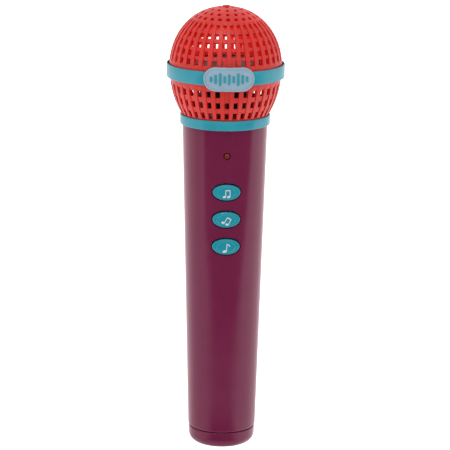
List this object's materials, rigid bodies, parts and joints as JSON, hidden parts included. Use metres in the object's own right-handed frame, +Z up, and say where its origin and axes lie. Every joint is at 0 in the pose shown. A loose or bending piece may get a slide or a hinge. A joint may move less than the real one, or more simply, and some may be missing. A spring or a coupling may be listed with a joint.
{
  "type": "toy microphone",
  "caption": "Toy microphone: tapered handle with oval song keys, lamp, switch and rear battery door, under a ball grille with loudspeaker and capsule.",
  "frame": {"origin": "centre of the flat foot of the end cap", "axes": "+Z up along the handle to the top of the grille; the front, with the keys and badge, faces -Y; +X is to the right when looking at the front"},
  "size_m": [0.0628, 0.064, 0.24],
  "materials": {
    "plum_plastic": "polished moulding, slightly pearly",
    "teal_plastic": "satin moulding",
    "red_plastic": "satin moulding",
    "badge_plastic": "satin moulding",
    "badge_print": "raised, painted",
    "mark_print": "raised, painted",
    "black_plastic": "fine spark-eroded texture",
    "chip_resin": "black resin",
    "steel": "pressed steel",
    "ferrite": "sintered ferrite and plated plates",
    "cone_paper": "pressed paper",
    "surround_cloth": "treated cloth roll",
    "screw_steel": "zinc plated",
    "boot_rubber": "moulded",
    "capsule_alloy": "plain",
    "lamp_resin": "tinted epoxy",
    "board_laminate": "solder mask over laminate",
    "capacitor_sleeve": "shrunk sleeve",
    "silicone": "milky silicone",
    "cell_jacket": "printed jacket, plain",
    "contact_nickel": "nickel plated",
    "lead_red": "vinyl insulation",
    "lead_black": "vinyl insulation"
  },
  "bodies": {
    "microphone": {"front_shell": "plum_plastic", "rear_shell": "plum_plastic", "end_cap": "plum_plastic", "neck_ring": "teal_plastic", "lower_grille": "red_plastic", "upper_grille": "red_plastic", "head_band": "teal_plastic", "badge": "badge_plastic", "badge_bars": "badge_print", "speaker_cup": "black_plastic", "speaker_frame": "steel", "speaker_magnet": "ferrite", "speaker_cone": "cone_paper", "speaker_surround": "surround_cloth", "cup_screws": "screw_steel", "mic_boot": "boot_rubber", "mic_capsule": "capsule_alloy", "indicator_lamp": "lamp_resin", "circuit_board": "board_laminate", "chip_package": "chip_resin", "capacitors": "capacitor_sleeve", "chip_resistors": "chip_resin", "board_screws": "screw_steel", "keypad": "silicone", "key_dome_top": "silicone", "key_dome_middle": "silicone", "key_dome_bottom": "silicone", "battery_tray": "black_plastic", "cell_left": "cell_jacket", "cell_right": "cell_jacket", "battery_springs": "contact_nickel", "battery_plates": "contact_nickel", "case_screws": "screw_steel", "switch_body": "steel", "red_leads": "lead_red", "black_leads": "lead_black"},
    "key_top": {"key_top": "teal_plastic", "mark_top": "mark_print"},
    "key_middle": {"key_middle": "teal_plastic", "mark_middle": "mark_print"},
    "key_bottom": {"key_bottom": "teal_plastic", "mark_bottom": "mark_print"},
    "switch": {"switch_knob": "black_plastic"},
    "battery_door": {"battery_door": "plum_plastic", "door_screw": "screw_steel"}
  },
  "joints": [
    {"name": "key_top_press", "type": "slide", "parent": "microphone", "child": "key_top", "axis": [0, 1, 0], "range_m": [0, 0.0011], "stiffness_N_per_m": 1200, "springref_m": -0.0006, "deforming": ["key_dome_top"]},
    {"name": "key_middle_press", "type": "slide", "parent": "microphone", "child": "key_middle", "axis": [0, 1, 0], "range_m": [0, 0.0011], "stiffness_N_per_m": 1200, "springref_m": -0.0006, "deforming": ["key_dome_middle"]},
    {"name": "key_bottom_press", "type": "slide", "parent": "microphone", "child": "key_bottom", "axis": [0, 1, 0], "range_m": [0, 0.0011], "stiffness_N_per_m": 1200, "springref_m": -0.0006, "deforming": ["key_dome_bottom"]},
    {"name": "switch_slide", "type": "slide", "parent": "microphone", "child": "switch", "axis": [0, 0, 1], "range_m": [0, 0.004]},
    {"name": "battery_door_tilt", "type": "hinge", "parent": "microphone", "child": "battery_door", "pos_m": [0, 0.0186, 0.0212], "axis": [-1, 0, 0], "range_deg": [0, 70]}
  ]
}
